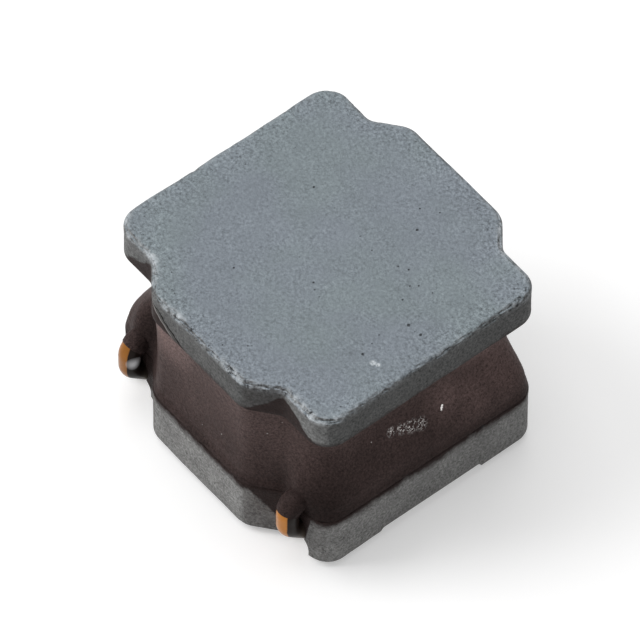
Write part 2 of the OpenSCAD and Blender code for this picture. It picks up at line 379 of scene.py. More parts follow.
def mark_core(core):
    """Attributes for the material: worn along the top edge, and coarser near it on the top face; the wear
    also stands as painted glints at the +X +Y corner
    """
    points = [v.co.copy() for v in core.data.vertices]
    distances = rim_distances(points)
    worn, coarse = [], []
    for p, d in zip(points, distances):
        reach = hypot(d, CORE_TOP - p.z) / WEAR_WIDTH
        worn.append(exposure(p) * (1 - smooth(reach)))
        coarse.append(1 - smooth(d / EDGE_BAND) if p.z > CORE_TOP - OUTER_EDGE else 0.0)
    set_attribute(core, "worn", worn)
    set_attribute(core, "coarse", coarse)


def u_section(r):
    """Inverted U, from one foot over the round roof to the other; its feet spread by FOOT_FLARE"""
    left = []
    for i in range(FOOT_STEPS + 1):
        turn = pi / 2 * (1 - i / FOOT_STEPS)
        left.append((-r - FOOT_FLARE * (1 - cos(turn)), SEAT_Z + FOOT_FLARE * (1 - sin(turn))))
    left = [(left[0][0], -CUT_PAST)] + left
    roof = [(r * -cos(pi * i / ROOF_STEPS), GROOVE_AXIS_Z + r * sin(pi * i / ROOF_STEPS))
            for i in range(ROOF_STEPS + 1)]
    right = [(-x, z) for x, z in left[::-1]]
    return left + roof + right


def groove_cutter(side):
    """Groove under the bottom flange whose mouths in the lobe faces are rounded"""
    rows = []
    steps = [LOBE_FACE_Y - MOUTH_R * (1 - sin(pi / 2 * i / MOUTH_STEPS)) for i in range(MOUTH_STEPS + 1)]
    steps.append(HALF_W + CUT_PAST)
    for y in [-s for s in steps[::-1]] + steps:
        u = max(0.0, min(1.0, (abs(y) - (LOBE_FACE_Y - MOUTH_R)) / MOUTH_R))
        flare = MOUTH_R * (1 - sqrt(1 - u * u))
        rows.append([Vector((side * GROOVE_X + x, y, z)) for x, z in u_section(GROOVE_R + flare)])
    return make_object("cutter", rows)


def ramp_cutter(side):
    """Round channel along the slope of the wire, from its groove up to the notch"""
    foot, head = RAMP_FOOT.copy(), RAMP_HEAD.copy()
    foot.x = head.x = side * GROOVE_X
    along = (head - foot).normalized()
    path = [foot, head + along * WIRE_D]
    rows = swept_rows(path, circle(WIRE_R + WIRE_GAP, 48))
    return make_object("cutter", [row[::-1] for row in rows])


def relief_cutter(side):
    """Shallow relief in the lower edge of an end face, with eased slopes"""
    low_x, high_x = film_high.x + 0.03, HALF_L + CUT_PAST
    rows = []
    ends = [RELIEF_L / 2 + RELIEF_SLOPE * t / RELIEF_STEPS for t in range(RELIEF_STEPS + 1)]
    for y in [-e for e in ends[::-1]] + ends:
        rise = RELIEF_H * smooth((RELIEF_L / 2 + RELIEF_SLOPE - abs(y)) / RELIEF_SLOPE)
        z = SEAT_Z - 0.01 + rise
        corners = [(low_x, -CUT_PAST), (high_x, -CUT_PAST), (high_x, z), (low_x + 0.04, z), (low_x, z - 0.02)]
        if side < 0:
            corners = [(-x, z) for x, z in corners[::-1]]
        rows.append([Vector((x, y, z)) for x, z in corners])
    return make_object("cutter", [row[::-1] for row in rows])


def make_core(material):
    core = make_object("ferrite_core", core_rows())
    for side in (-1, 1):
        combine(core, groove_cutter(side), "DIFFERENCE")
        combine(core, ramp_cutter(side), "DIFFERENCE")
        combine(core, relief_cutter(side), "DIFFERENCE")
    mark_core(core)
    finish_piece(core, ["drum_core"], material)


# ---- Wire ----

LAYER_1_R = POST_R + WIRE_GAP + WIRE_R
LAYER_2_R = LAYER_1_R + WIRE_D + LAYER_GAP
BEND_R = WIRE_R + WIRE_GAP + INNER_EDGE
DROP_Y = -(LOBE_FACE_Y + WIRE_GAP + WIRE_R)
LEAD_Z = FLANGE_TOP + WIRE_GAP + WIRE_R
TOP_TURN_Z = WINDOW_TOP - WIRE_GAP - WIRE_R
TURNS_1 = int((TOP_TURN_Z - LEAD_Z) / (WIRE_D + TURN_GAP))
PITCH = (TOP_TURN_Z - LEAD_Z) / TURNS_1
BEND_STEPS = 12
TURN_STEPS = 40
WIRE_SIDES = 28

# Painted light: the way that the lit, orange flank of each lead faces; the rest of the wire is painted dark
# as shade
LIT_FLANK_LEFT = Vector((-0.67, -0.74, 0))
LIT_FLANK_RIGHT = Vector((-0.52, -0.85, 0))

# How far solder has wetted each lead above its groove, and over what height it fades
TIN_LEFT = 0.10
TIN_RIGHT = 0.20
TIN_FADE = 0.22


def lead_heading(layer_r):
    """Heading at which the wire, having turned in from its notch, runs tangent to a layer"""
    c = Vector((GROOVE_X - LEAD_TURN_R, DROP_Y + BEND_R))
    return degrees(atan2(-c.y, c.x) - asin((LEAD_TURN_R + layer_r) / c.length))


def flange_turn(layer_r):
    """Turn of the lead at -X on the bottom flange, from over its edge to the tangent of a layer"""
    h = lead_heading(layer_r)
    points = []
    for i in range(BEND_STEPS + 1):
        t = radians(mix(90, h, i / BEND_STEPS))
        points.append(Vector((-GROOVE_X + LEAD_TURN_R * (1 - sin(t)),
                              DROP_Y + BEND_R + LEAD_TURN_R * cos(t), LEAD_Z)))
    return points


ENTRY_Z = SEAT_Z + ENTRY_H
RAMP_Y = DROP_Y + (ENTRY_Z - GROOVE_AXIS_Z) / tan(ENTRY_SLOPE)
RAMP_FOOT = Vector((-GROOVE_X, RAMP_Y, GROOVE_AXIS_Z))
RAMP_HEAD = Vector((-GROOVE_X, DROP_Y, ENTRY_Z))
OVER_EDGE = Vector((-GROOVE_X, DROP_Y, LEAD_Z))
ON_FLANGE = Vector((-GROOVE_X, 0, LEAD_Z))


def lead_bend(a, v, b, turn):
    return arc(a, v, b, BEND_R * tan(turn / 2), BEND_STEPS)


def drop(end_y):
    """From the cut end along the groove, up its slope and the notch, and over the flange edge"""
    cut_end = Vector((-GROOVE_X, end_y, GROOVE_AXIS_Z))
    return ([cut_end] + lead_bend(cut_end, RAMP_FOOT, RAMP_HEAD, ENTRY_SLOPE)
            + lead_bend(RAMP_FOOT, RAMP_HEAD, OVER_EDGE, pi / 2 - ENTRY_SLOPE)
            + lead_bend(RAMP_HEAD, OVER_EDGE, ON_FLANGE, pi / 2)[:-1])


def wire_path():
    end_y = wire_high.y
    start_angle = lead_heading(LAYER_1_R) - 90
    wound = 360 * (2 * TURNS_1 - 1) - lead_heading(LAYER_2_R) - 90 - start_angle
    layer_1_angle = 360 * TURNS_1
    steps = round(wound / 360 * TURN_STEPS)
    turns = []
    for i in range(steps + 1):
        a = wound * i / steps
        r = mix(LAYER_1_R, LAYER_2_R, smooth((a - layer_1_angle) / CROSSOVER))
        back = max(0.0, min(1.0, (a - layer_1_angle - CROSSOVER) / (wound - layer_1_angle - CROSSOVER)))
        if a < layer_1_angle:
            z = mix(LEAD_Z, TOP_TURN_Z, a / layer_1_angle)
        else:
            z = mix(TOP_TURN_Z, LEAD_Z + PITCH, back)
        t = radians(start_angle + a)
        turns.append(Vector((r * cos(t), r * sin(t), z)))
    first = drop(end_y) + flange_turn(LAYER_1_R)
    last = drop(end_y) + flange_turn(LAYER_2_R)
    return first + turns + [Vector((-p.x, p.y, p.z)) for p in last[::-1]]


def swept_rows(path, section):
    """section placed at every point of path, carried along without twist"""
    n = len(path)
    tangents = [(path[min(i + 1, n - 1)] - path[max(i - 1, 0)]).normalized() for i in range(n)]
    side = tangents[0].cross(Vector((0, 0, 1))).normalized()
    rows = []
    for p, t in zip(path, tangents):
        side = (side - t * side.dot(t)).normalized()
        up = side.cross(t)
        rows.append([p + side * x + up * y for x, y in section])
    return rows


def circle(r, n):
    return [(r * cos(2 * pi * i / n), r * sin(2 * pi * i / n)) for i in range(n)]


def make_wire(material):
    path = wire_path()
    rows = [row[::-1] for row in swept_rows(path, circle(WIRE_R, WIRE_SIDES))]
    wire = make_object("enamelled_wire", rows)
    tin = []
    for j, p in enumerate(path):
        lead = abs(p.x) > GROOVE_X - 0.01
        height = p.z - GROOVE_AXIS_Z - (TIN_LEFT if p.x < 0 else TIN_RIGHT)
        share = 1 - smooth(height / TIN_FADE) if lead else 0.0
        tin += [share] * WIRE_SIDES
    set_attribute(wire, "tinned", tin)
    # Painted light: how far each point of the wire faces its lit flank
    lit_flank = [max(0.0, (q - p).normalized().dot(LIT_FLANK_LEFT if p.x < 0 else LIT_FLANK_RIGHT))
             for row, p in zip(rows, path) for q in row]
    set_attribute(wire, "lit_flank", lit_flank)
    finish_piece(wire, ["winding"], material)


# ---- Resin shield ----

SHIELD_WAIST = 2.45
FOOT_EDGE = 0.015
SHIELD_HOLLOW = 0.06
LOBE_COVER = 0.15
SHOULDER_H = 0.11
FLARE_H = 1.48
LEAD_RIDGE = 0.17
RIDGE_HALF_W = 0.42
VALLEY_X, VALLEY_Y = -1.95, -2.5
VALLEY_R = 0.55
VALLEY_DEPTH = 0.16
SHIELD_ROWS = 72
HOOD_STEPS = 16
BORE_R = LAYER_2_R + WIRE_R + BORE_GAP


def waist_corner():
    tab, notch = tab_corner(0), notch_corner(0)
    return tab.lerp(notch, (SHIELD_WAIST - tab.x) / (notch.x - tab.x))


def near_lead(p):
    """1 in front of a lead on the -Y side, fading to 0 on both sides of it"""
    return (1 - smooth(abs(abs(p.x) - GROOVE_X) / RIDGE_HALF_W)) * smooth((-p.y - 1.2) / 0.6)


def left_valley(p):
    """Deep corner of the resin beside the tab at -X"""
    across = 1 - smooth(hypot(p.x - VALLEY_X, p.y - VALLEY_Y) / VALLEY_R)
    return across * smooth((p.z - FLANGE_TOP - 0.2) / 0.5)


def shield_row(h):
    cover = mix(1, LOBE_COVER, smooth((h - SHOULDER_H) / (FLARE_H - SHOULDER_H)))
    hollow = Vector((0, SHIELD_HOLLOW * sin(pi * h / WINDOW_H)))
    edge = mix(FOOT_EDGE, INNER_EDGE, smooth(h / 0.2))
    ring = four_quarters(quarter(
        waist_corner().lerp(lobe_corner(edge), cover),
        notch_corner(edge) - hollow / 2, tab_corner(edge) - hollow,
        LOBE_R - edge, NOTCH_R * STEP_K, TAB_R * STEP_K))
    row = []
    for i, p in enumerate(ring):
        z = FLANGE_TOP + h
        at = Vector((p.x, p.y, z))
        ease = sin(pi * h / WINDOW_H) ** 0.5 if 0 < h < WINDOW_H else 0.0
        swell = 0.012 * fbm(at, 0.8, 2, 5.0) + 0.004 * fbm(at, 5.0, 2, 9.0)
        swell += LEAD_RIDGE * near_lead(p) * smooth(h / 0.15) * (1 - smooth((h - 0.35) / 0.8))
        swell -= VALLEY_DEPTH * left_valley(at)
        q = p - RIM_INWARD[i] * swell * ease
        row.append(Vector((q.x, q.y, z)))
    return row


def mirrored_to(side, points):
    """Points of the lead at -X, moved to the given side"""
    return [Vector((-side * p.x, p.y, p.z)) for p in points]


def tube(side, path, radius):
    rows = swept_rows(mirrored_to(side, path), circle(radius, WIRE_SIDES))
    return make_object("cutter", [row[::-1] for row in rows])


TOP_BEND = lead_bend(RAMP_HEAD, OVER_EDGE, ON_FLANGE, pi / 2)


def hood(side):
    """Resin drawn out over the bend of a lead, thinning towards its lip"""
    path, rows = [], []
    for i in range(HOOD_STEPS + 1):
        t = pi / 2 - HOOD_TURN[side] * (1 - i / HOOD_STEPS)
        path.append(Vector((-GROOVE_X, DROP_Y + BEND_R * (1 - cos(t)), LEAD_Z - BEND_R * (1 - sin(t)))))
    path.append(OVER_EDGE + Vector((0, BEND_R + WIRE_D, 0)))
    path = mirrored_to(side, path)
    for i, row in enumerate(swept_rows(path, circle(1.0, WIRE_SIDES))):
        lip = smooth(i / 6)
        grown = []
        for q in row:
            away = q - path[i]
            uneven = 0.010 * fbm(q, 2.2, 2, 15.0)
            grown.append(path[i] + away * (WIRE_R + BORE_GAP + mix(0.006, HOOD_T + uneven, lip)))
        rows.append(grown[::-1])
    return make_object("hood", rows)


def lead_tube(side):
    """Space of the lead in the resin, round the bend over the flange edge to its layer"""
    layer_r, end_z = (LAYER_1_R, LEAD_Z) if side < 0 else (LAYER_2_R, LEAD_Z + PITCH)
    h = radians(lead_heading(layer_r))
    path = TOP_BEND + flange_turn(layer_r)[1:]
    path.append(Vector((layer_r * sin(h), -layer_r * cos(h), end_z)))
    return tube(side, path, WIRE_R + BORE_GAP)


def make_shield(material):
    heights = [WINDOW_H * i / SHIELD_ROWS for i in range(SHIELD_ROWS + 1)]
    outer = [shield_row(h) for h in heights]
    rows = [round_row(BORE_R, FLANGE_TOP)] + outer + [round_row(BORE_R, WINDOW_TOP)]
    shield = make_object("resin_fill", rows, closed=True)
    for side in (-1, 1):
        combine(shield, hood(side), "UNION")
        combine(shield, lead_tube(side), "DIFFERENCE")
    finish_piece(shield, ["resin_shield"], material)


# ---- Electrode films and solder ----

PAD_STEPS = 60
PAD_ROOF = 20
PAD_CORNER = 0.2
FILM_RAGGED = 0.05
SOLDER_RAGGED = 0.04
SOLDER_DIP = 0.012
SOLDER_LEAST = 0.004


def pad_half_width(y, half_w, half_l, ragged, seed):
    """Half width of a pad with round corners and a slightly ragged edge at y along its length"""
    run = max(0.0, abs(y) - (half_l - PAD_CORNER))
    corner = PAD_CORNER - sqrt(max(0.0, PAD_CORNER ** 2 - run ** 2))
    return half_w - corner - ragged * (0.5 + 0.5 * fbm(Vector((seed, y, 0)), 2.6, 3))


def pad_stations(half_l):
    """Places along a pad, closer together at its ends"""
    return [half_l * sin(pi * (i / PAD_STEPS - 0.5)) for i in range(PAD_STEPS + 1)]


def roof_arc(r):
    """Half circle over a groove's axis, from +X to -X"""
    return [(r * cos(pi * i / PAD_ROOF), GROOVE_AXIS_Z + r * sin(pi * i / PAD_ROOF))
            for i in range(PAD_ROOF + 1)]


def make_film(side, node, material):
    """Fired silver film on both lands and over the walls and roof of the groove"""
    half_w, half_l = (film_high.x - film_low.x) / 2, film_high.y
    inner = GROOVE_R - FILM_T
    rows = []
    for y in pad_stations(half_l):
        left = pad_half_width(y, half_w, half_l, FILM_RAGGED, 3.0 + side)
        right = pad_half_width(y, half_w, half_l, FILM_RAGGED, 8.0 + side)
        low, high = film_low.z, SEAT_Z
        section = [(-left, low), (-inner, low)] + roof_arc(inner)[::-1] + [(inner, low), (right, low)]
        section += [(right, high), (GROOVE_R, high)] + roof_arc(GROOVE_R) + [(-GROOVE_R, high), (-left, high)]
        rows.append([Vector((side * GROOVE_X + x, y, z)) for x, z in section[::-1]])
    film = make_object(node.replace("electrode", "silver_film"), rows)
    combine(film, ramp_cutter(side), "DIFFERENCE")
    finish_piece(film, [node], material)


def make_solder(side, node, material):
    """Domed coat under the lands, and the fill round the wire in the groove"""
    half_w, half_l = (coat_high.x - coat_low.x) / 2, coat_high.y
    coat_top = film_low.z
    inner = GROOVE_R - FILM_T
    rows = []
    for y in pad_stations(half_l):
        half = pad_half_width(y, half_w, half_l, SOLDER_RAGGED, 13.0 + side)
        crown = 1 - (abs(y) / half_l) ** 6
        section = []
        for i in range(PAD_ROOF + 1):
            x = half * cos(pi * (1 - i / PAD_ROOF))
            dome = crown * max(0.0, 1 - (abs(x) / half) ** 4)
            dip = SOLDER_DIP * (0.5 + 0.5 * fbm(Vector((x, y, side)), 1.6, 3, 41.0))
            section.append((x, coat_top - max(SOLDER_LEAST, (coat_top - dip) * dome)))
        section += [(half, coat_top), (inner, coat_top)] + roof_arc(inner)
        section += [(-inner, coat_top), (-half, coat_top)]
        rows.append([Vector((side * GROOVE_X + x, y, z)) for x, z in section[::-1]])
    coat = make_object(node.replace("solder", "solder_coat"), rows)
    combine(coat, tube(side, drop(wire_high.y + BORE_GAP), WIRE_R + BORE_GAP), "DIFFERENCE")
    finish_piece(coat, [node], material)


# ---- Materials ----

TOP_BLUE = (0.236, 0.266, 0.298)
TOP_GREEN = (0.234, 0.271, 0.290)
SIDE_GREY = (0.272, 0.270, 0.265)
UPPER_SIDE_GREY = (0.112, 0.113, 0.112)
PORE_DARK = (0.040, 0.042, 0.044)
WORN_AND_GLINT_PALE = (0.60, 0.64, 0.67)
FILM_BROWN = (0.034, 0.0235, 0.0220)
CRACK_DARK = (0.008, 0.007, 0.007)
LIP_OLIVE = (0.065, 0.062, 0.055)
LIP_HIGHLIGHT_PALE = (0.40, 0.38, 0.37)
RESIN_BROWN = (0.084, 0.0575, 0.0540)
FLECK_AND_GLINT_PALE = (0.80, 0.76, 0.74)
ENAMEL_ORANGE = (0.44, 0.165, 0.022)
ENAMEL_PAINTED_DARK = (0.017, 0.011, 0.009)
TIN_GREY = (0.24, 0.20, 0.16)
HIGHLIGHT_GREY = (0.92, 0.92, 0.94)
SILVER_GREY = (0.62, 0.61, 0.58)
SOLDER_GREY = (0.60, 0.61, 0.62)
DULL_SPECULAR = 0.03

# Places are (x, y, z, radius) in millimetres
# Painted highlight on the lead at -X: a grey spot where a reflection shows
PAINTED_HIGHLIGHT_SPOT = (-2.06, -2.80, 1.31, 0.18)


class Shader:
    """A material whose nodes are added by type, with sockets set or linked by name"""

    def __init__(self, name):
        self.material = bpy.data.materials.new(name)
        self.material.use_nodes = True
        self.tree = self.material.node_tree
        self.principled = self.tree.nodes["Principled BSDF"]
        place = self.add("ShaderNodeTexCoord").outputs["Object"]
        self.place = self.add("ShaderNodeVectorMath", operation="SCALE",
                              inputs={0: place, "Scale": 1 / MM}).outputs[0]

    def add(self, kind, inputs=None, **settings):
        node = self.tree.nodes.new(kind)
        for key, value in settings.items():
            setattr(node, key, value)
        for key, value in (inputs or {}).items():
            self.put(node.inputs[key], value)
        return node

    def put(self, socket, value):
        if isinstance(value, bpy.types.NodeSocket):
            self.tree.links.new(value, socket)
        elif isinstance(value, tuple) and len(value) == 3 and socket.type == "RGBA":
            socket.default_value = (*value, 1)
        else:
            socket.default_value = value

    def noise(self, scale, detail=2.0, roughness=0.5, offset=0.0):
        place = self.place
        if offset:
            place = self.add("ShaderNodeVectorMath", operation="ADD",
                             inputs={0: place, 1: (offset, -offset, offset / 2)}).outputs[0]
        return self.add("ShaderNodeTexNoise", inputs={
            "Vector": place, "Scale": scale, "Detail": detail, "Roughness": roughness}).outputs["Fac"]

    def cells(self, scale, output="Distance"):
        return self.add("ShaderNodeTexVoronoi", inputs={
            "Vector": self.place, "Scale": scale}).outputs[output]

    def remap(self, value, low, high, to_low=0.0, to_high=1.0):
        return self.add("ShaderNodeMapRange", inputs={
            "Value": value, "From Min": low, "From Max": high,
            "To Min": to_low, "To Max": to_high}).outputs[0]

    def axes(self, vector):
        return self.add("ShaderNodeSeparateXYZ", inputs={0: vector}).outputs

    def spots(self, places, softness):
        """1 at each place, fading to 0 at its radius; a softness of 1 fades from the centre"""
        total = 0.0
        for x, y, z, radius in places:
            distance = self.add("ShaderNodeVectorMath", operation="DISTANCE",
                                inputs={0: self.place, 1: (x, y, z)}).outputs["Value"]
            spot = self.remap(distance, radius, radius * (1 - softness))
            total = self.math("MAXIMUM", total, spot)
        return total

    def math(self, operation, a, b=0.0):
        return self.add("ShaderNodeMath", operation=operation, inputs={0: a, 1: b}).outputs[0]

    def product(self, first, *others):
        for other in others:
            first = self.math("MULTIPLY", first, other)
        return first

    def blend(self, share, a, b, kind="MIX"):
        node = self.add("ShaderNodeMix", data_type="RGBA", blend_type=kind)
        self.put(node.inputs["Factor"], share)
        self.put(node.inputs[6], a)
        self.put(node.inputs[7], b)
        return node.outputs[2]

    def shade(self, color, factor):
        """color with its brightness multiplied by factor"""
        node = self.add("ShaderNodeVectorMath", operation="SCALE")
        self.put(node.inputs[0], color)
        self.put(node.inputs["Scale"], factor)
        return node.outputs[0]

    def attribute(self, name):
        return self.add("ShaderNodeAttribute", attribute_name=name).outputs["Fac"]

    def bump(self, height, distance, strength=1.0):
        return self.add("ShaderNodeBump", inputs={
            "Height": height, "Distance": distance * MM, "Strength": strength}).outputs[0]

    def surface(self, **inputs):
        for key, value in inputs.items():
            self.put(self.principled.inputs[key.replace("_", " ")], value)
        return self.material


# Marks on the top face as (x, y, radius): open pits, pale bruises and faint dark smears
PITS = [(2.15, 0.12, 0.035), (2.45, 0.15, 0.03), (0.61, 1.58, 0.03), (2.13, -0.92, 0.03),
        (0.35, -0.60, 0.022), (-1.30, 0.75, 0.025), (-0.80, -1.50, 0.022), (1.20, 0.90, 0.02)]
BRUISES = [(2.39, -0.90, 0.07), (2.48, -0.86, 0.05)]
SMEARS = [(0.0, 0.85, 0.12), (0.45, -0.1, 0.10), (2.0, -1.05, 0.18), (1.1, 0.35, 0.08)]

# Fade in y to the side where the leads come down
LEAD_SIDE_Y = (-2.30, -2.40)

# Edge of the resin that has run over a flange side beside a lead: its height at the tab's corner and
# at the notch's, then the stretch of x over which it turns back and by how much
RUN_LOW = (1.36, 0.40, (2.46, 2.66), 1.0)
RUN_HIGH = (3.72, 4.27, (NOTCH_X, 2.80), -0.60)
RUN_LOW_TOP = 2.0
RUN_HIGH_FOOT = 1.9


def on_top(marks):
    return [(x, y, CORE_TOP, radius) for x, y, radius in marks]


def ferrite_grey(s, x, y, top, upper):
    """Bluish on the lapped top, grey on the pressed sides, darker on the upper flange's sides, with painted
    light making parts of the sides paler
    """
    # Painted light on the upper flange's sides: paler at the lobe beside the lead at +X, and paler towards -X
    lobe = s.product(s.remap(y, *LEAD_SIDE_Y), s.remap(x, 1.80, 1.95), 0.9)
    upper_grey_with_painted_light = s.shade(UPPER_SIDE_GREY, s.math("ADD", lobe, s.remap(x, -HALF_L, 1.5, 1.7, 1.0)))
    # Painted light: the lower flange's side is paler at the far +X +Y corner
    corner = s.product(s.remap(x, 2.5, 2.9), s.remap(y, 2.2, 2.8), 0.35)
    side = s.blend(upper, s.shade(SIDE_GREY, s.math("ADD", 1.0, corner)), upper_grey_with_painted_light)
    green = s.remap(s.noise(0.55, 2, 0.5, 3.0), 0.42, 0.62)
    return s.blend(top, side, s.blend(green, TOP_BLUE, TOP_GREEN))


def run_line(s, reach, tab_z, notch_z, turn, back):
    """Height of the edge of the run-over resin, at reach from x = 0"""
    slope = s.remap(reach, TAB_X, NOTCH_X, tab_z, notch_z)
    return s.math("ADD", slope, s.remap(reach, *turn, 0.0, back))


def resin_film_and_painted_shade(s, x, y, z, top):
    """Resin film over the flange sides next to the window, partly painted shade where flange and resin meet,
    and further over them beside the leads, with painted shade on the notch steps
    """
    creep = s.remap(s.noise(2.8, 4, 0.7, 31.0), 0.3, 0.7, -0.07, 0.07)
    ragged_z = s.math("ADD", z, creep)
    # Both bands are partly resin film and partly painted shade where the flange meets the resin
    below = s.remap(ragged_z, FLANGE_TOP - 0.26, FLANGE_TOP - 0.06)
    above = s.remap(ragged_z, WINDOW_TOP + 0.14, WINDOW_TOP)
    film = s.product(below, above)

    reach = s.math("ABSOLUTE", x)
    lead_side = s.product(s.remap(y, *LEAD_SIDE_Y), s.remap(reach, TAB_X - 0.06, TAB_X + 0.02))
    low_line = run_line(s, reach, *RUN_LOW)
    high_line = run_line(s, reach, *RUN_HIGH)
    # Painted shade: a least share of film darkens the notch step faces of both flanges beside the leads, and
    # a little of the lower lobe faces
    painted_step_shade = s.remap(reach, NOTCH_X, NOTCH_X + 0.1, 0.36, 0.16)
    run_low = s.math("MAXIMUM", painted_step_shade, s.remap(s.math("SUBTRACT", ragged_z, low_line), -0.04, 0.08))
    painted_upper_step_shade = s.remap(reach, NOTCH_X, NOTCH_X + 0.1, 0.30, 0.0)
    run_high = s.math("MAXIMUM", painted_upper_step_shade, s.remap(s.math("SUBTRACT", ragged_z, high_line), 0.03, -0.03))
    run_low = s.product(run_low, s.remap(z, RUN_LOW_TOP, RUN_HIGH_FOOT))
    run_high = s.product(run_high, s.remap(z, RUN_HIGH_FOOT, RUN_LOW_TOP))
    runs = s.product(lead_side, s.math("MAXIMUM", run_low, run_high), s.remap(top, 0, 1, 1.0, 0.0))
    return s.math("MAXIMUM", film, runs)


def painted_break(s, color, x, y, z, upper):
    """Lower corner of the upper tab at -X: a crack, a sliver under it and a lip of resin with a painted
    highlight along its edge
    """
    lead_face = s.product(s.remap(y, -2.80, -2.90), upper)
    wander = s.remap(s.noise(4, 3, 0.6, 9.0), 0.3, 0.7, -0.05, 0.05)
    crack_z = s.math("ADD", s.remap(x, -1.12, -0.42, 4.12, 3.70), wander)
    lip_z = s.math("ADD", s.remap(x, -1.38, -0.70, 4.15, 3.72), s.product(wander, 0.4))
    over_crack = s.math("SUBTRACT", z, crack_z)
    over_lip = s.math("SUBTRACT", z, lip_z)
    sliver = s.product(lead_face, s.remap(over_crack, 0.01, -0.01), s.remap(x, -0.35, -0.50))
    color = s.blend(s.product(sliver, 0.5), color, LIP_OLIVE)
    lip = s.product(lead_face, s.remap(over_lip, 0.01, -0.01), s.remap(x, -0.60, -0.72))
    color = s.blend(lip, color, FILM_BROWN)
    near_crack = s.remap(s.math("ABSOLUTE", over_crack), 0.040, 0.020)
    color = s.blend(s.product(lead_face, near_crack, s.remap(x, -0.30, -0.45)), color, CRACK_DARK)
    # Painted highlight along the edge of the lip
    near_lip_highlight = s.remap(s.math("ABSOLUTE", over_lip), 0.030, 0.015)
    edge = s.product(lead_face, s.remap(x, -0.60, -0.75), near_lip_highlight)
    return s.blend(s.product(edge, 0.7), color, LIP_HIGHLIGHT_PALE)


def ferrite_material():
    s = Shader("ferrite")
    x, y, z = s.axes(s.place)
    worn, coarse = s.attribute("worn"), s.attribute("coarse")
    upright = s.axes(s.add("ShaderNodeNewGeometry").outputs["Normal"])[2]
    top = s.remap(upright, 0.60, 0.95)
    upper = s.remap(z, WINDOW_TOP - 0.4, WINDOW_TOP)
    color = ferrite_grey(s, x, y, top, upper)

    # Grain, stronger in patches, near the edges and on the sides, under broad clouds of tone
    grain = s.remap(s.noise(17, 4, 0.85), 0.28, 0.72, -1.0, 1.0)
    patches = s.remap(s.noise(3.1, 3, 0.6, 7.0), 0.35, 0.65, 0.45, 1.0)
    strength = s.math("ADD", s.product(patches, 0.50), s.product(coarse, 0.36))
    strength = s.math("ADD", strength, s.remap(top, 0, 1, 0.45, 0.0))
    cloud = s.remap(s.noise(1.3, 4, 0.6), 0.3, 0.7, 0.95, 1.05)
    side_cloud = s.remap(s.noise(2.6, 4, 0.65, 11.0), 0.3, 0.7, 0.82, 1.16)
    cloud = s.math("MULTIPLY", cloud, s.remap(top, 0, 1, side_cloud, 1.0))
    color = s.shade(color, s.math("MULTIPLY", cloud, s.math("ADD", 1.0, s.product(grain, strength))))

    # Sparse dark pores, more of them near the edges, and the marks on the top face
    pores = s.remap(s.cells(5.5), 0.10, 0.06)
    pore_zone = s.remap(s.noise(2.2, 2, 0.5, 19.0), s.remap(coarse, 0, 1, 0.56, 0.44), 0.66)
    pits = s.math("MAXIMUM", s.product(pores, pore_zone), s.spots(on_top(PITS), 0.5))
    smears = s.spots(on_top(SMEARS), 1.0)
    smears = s.product(smears, s.remap(s.noise(9, 3, 0.7, 2.0), 0.40, 0.62), 0.35)
    color = s.blend(smears, color, PORE_DARK)
    color = s.blend(s.product(pits, 0.85), color, PORE_DARK)

    # Worn edge and bruises: pale flecks with dark crevices between them, the flecks at the +X +Y corner being
    # a painted highlight for glints
    rubbed = s.remap(s.noise(1.7, 3, 0.7, 41.0), 0.38, 0.60, 0.15, 1.5)
    pale_wear_and_glint = s.product(worn, rubbed, s.remap(s.noise(7, 4, 0.75, 5.0), 0.40, 0.60))
    bruises = s.spots(on_top(BRUISES), 0.4)
    pale_wear_and_glint = s.math("MAXIMUM", pale_wear_and_glint, s.product(bruises, s.remap(s.noise(22, 3, 0.7), 0.35, 0.55)))
    color = s.blend(pale_wear_and_glint, color, WORN_AND_GLINT_PALE)
    crevice = s.product(s.remap(worn, 0.10, 0.45), s.remap(s.noise(6, 4, 0.8, 23.0), 0.57, 0.66))
    color = s.blend(crevice, color, PORE_DARK)

    # Resin film over the flange sides, partly painted shade
    film = resin_film_and_painted_shade(s, x, y, z, top)
    color = painted_break(s, color, x, y, z, upper)
    film_grain = s.remap(s.noise(20, 4, 0.9), 0.30, 0.70, 0.45, 1.55)
    color = s.blend(film, color, s.shade(FILM_BROWN, film_grain))

    height = s.math("ADD", s.noise(26, 3, 0.7), s.product(s.noise(6, 3, 0.6), 0.8))
    height = s.math("SUBTRACT", height, s.product(pits, 2.0))
    height = s.math("ADD", height, s.product(worn, s.noise(9, 4, 0.8, 5.0), 3.0))
    return s.surface(Base_Color=color, Roughness=s.remap(film, 0, 1, 0.55, 0.42),
                     Specular_IOR_Level=DULL_SPECULAR, Normal=s.bump(height, 0.014))


# Places on the resin: painted shade in deep corners, painted sheen on paler parts, and fine crinkles and
# glints, which are fixed pale flecks painted as highlights
PAINTED_SHADE_SPOTS = [(-1.80, -2.55, WINDOW_TOP - 0.50, 0.75), (-2.00, -2.45, FLANGE_TOP + 0.85, 0.75),
           (-2.10, -2.40, FLANGE_TOP + 0.45, 0.60), (2.60, -2.30, FLANGE_TOP + 0.3, 0.9)]
PAINTED_SHEEN_SPOTS = [(2.70, 1.80, 2.25, 0.9), (2.60, 1.55, 3.05, 0.8), (2.70, 1.20, 2.10, 0.8),
         (2.70, 0.60, 2.35, 0.6), (-1.0, -3.0, WINDOW_TOP - 0.2, 0.9)]
PAINTED_GLINT_CRINKLES = [(2.66, -0.65, 2.42, 0.13), (2.67, -0.45, 2.36, 0.15), (2.69, -0.24, 2.29, 0.17),
            (2.71, -0.04, 2.22, 0.17)]
GLINTS = [(2.70, 0.51, 2.34, 0.030), (2.70, 0.48, 2.30, 0.034), (2.70, 0.455, 2.26, 0.034),
          (2.70, 0.44, 2.22, 0.034), (2.70, 0.44, 2.18, 0.028)]


